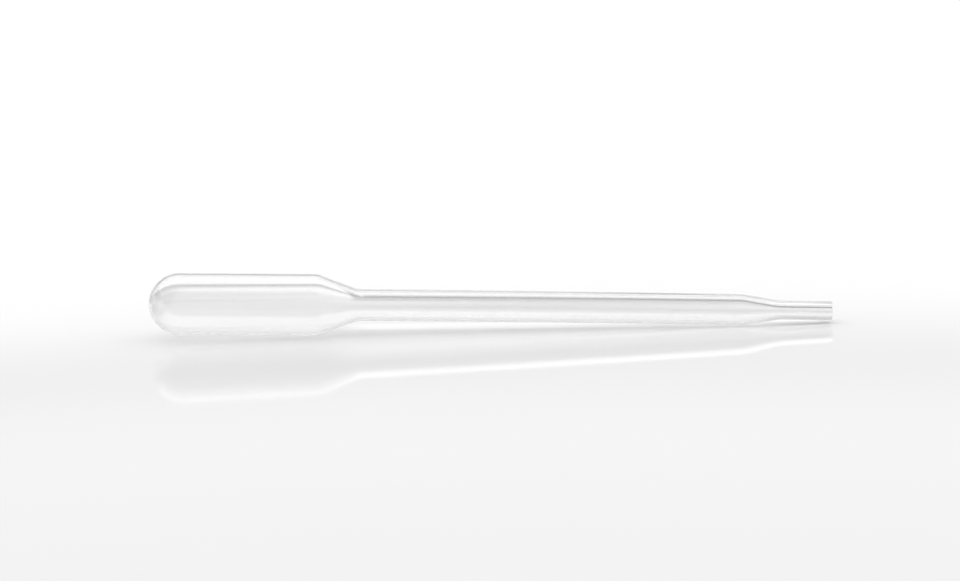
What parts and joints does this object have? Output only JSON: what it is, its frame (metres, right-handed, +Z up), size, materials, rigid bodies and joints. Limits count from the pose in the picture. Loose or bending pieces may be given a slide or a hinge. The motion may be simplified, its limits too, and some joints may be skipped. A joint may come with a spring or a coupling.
{
  "type": "plastic dropper pipette",
  "caption": "Blow-moulded soft plastic dropper pipette with a round-ended squeeze bulb, conical shoulder, slender tapering stem and narrow square-cut tip.",
  "frame": {"origin": "middle of the footprint, on the level surface that the pipette lies on", "axes": "+X along the pipette from the bulb to the open tip, +Z up"},
  "size_m": [0.155, 0.014, 0.015],
  "materials": {
    "natural_ldpe": "natural low-density polyethylene, milky clear, smooth and glossy as blow-moulded"
  },
  "bodies": {
    "root": {"pipette": "natural_ldpe"}
  },
  "joints": []
}
